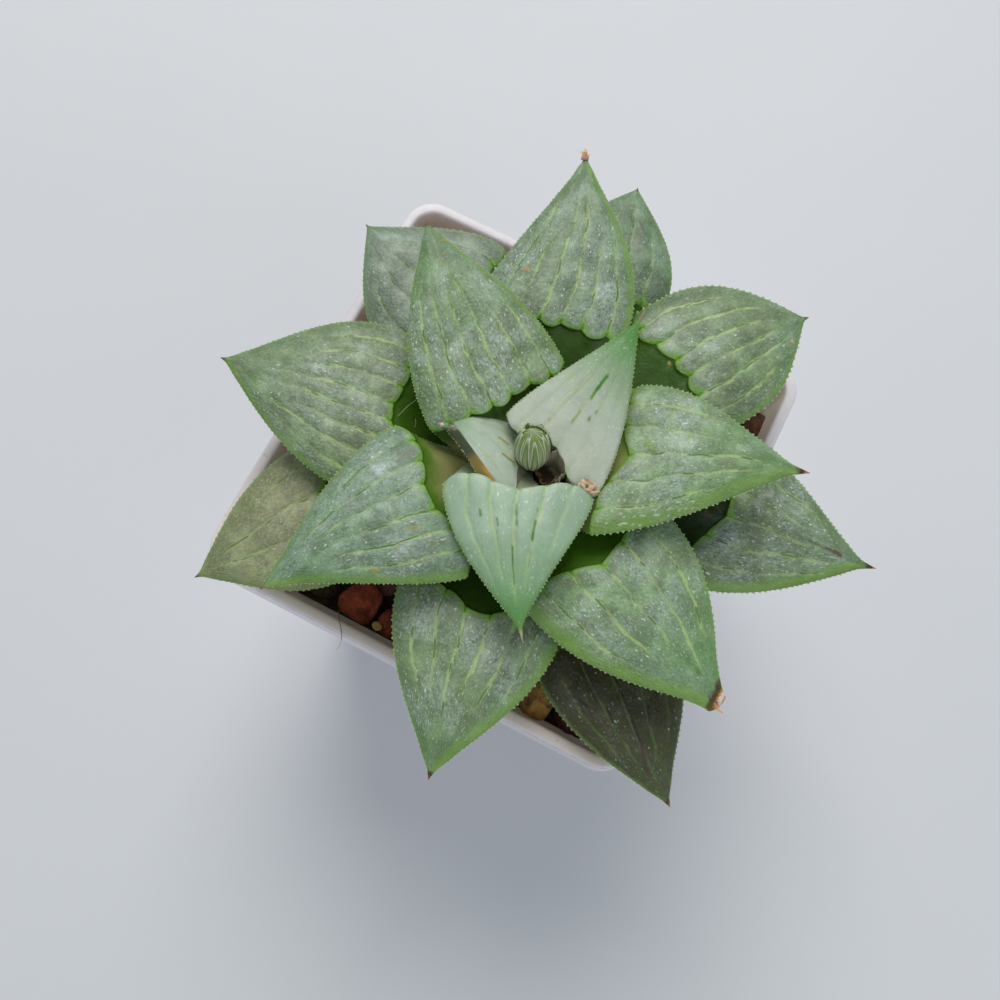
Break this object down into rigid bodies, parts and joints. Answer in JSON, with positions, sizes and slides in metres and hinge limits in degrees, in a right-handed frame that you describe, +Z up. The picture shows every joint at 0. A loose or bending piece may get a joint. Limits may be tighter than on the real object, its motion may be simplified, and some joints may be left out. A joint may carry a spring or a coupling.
{
  "type": "potted haworthia",
  "caption": "Haworthia rosette with thick, blunt-shouldered, finely toothed leaves and windowed tops, rooted in coarse gravel in a square tapered plastic nursery pot.",
  "frame": {"origin": "middle of the pot's flat underside", "axes": "+Z up; X and Y along the pot's sides, Y pointing to the side away from the viewer"},
  "size_m": [0.096, 0.0941, 0.091],
  "materials": {
    "pot": "off-white injection-moulded plastic, satin",
    "gravel": "rough fired-clay and pumice grains, red-brown to ochre",
    "stem": "pale waxy plant skin",
    "young_leaf": "pale whitish-green waxy leaf skin with a translucent window",
    "leaf": "grey-green waxy leaf skin with a translucent window and light veins",
    "bud": "white bracts with a green midrib",
    "husk": "dry papery brown husk"
  },
  "bodies": {
    "root": {"pot": "pot", "gravel": "gravel", "stem": "stem", "leaf_01": "young_leaf", "leaf_02": "young_leaf", "leaf_03": "young_leaf", "leaf_04": "leaf", "leaf_05": "leaf", "leaf_06": "leaf", "leaf_07": "leaf", "leaf_08": "leaf", "leaf_09": "leaf", "leaf_10": "leaf", "leaf_11": "leaf", "leaf_12": "leaf", "leaf_13": "leaf", "leaf_14": "leaf", "leaf_15": "leaf", "leaf_16": "leaf", "flower_bud": "bud", "dry_stalk": "husk"}
  },
  "joints": []
}
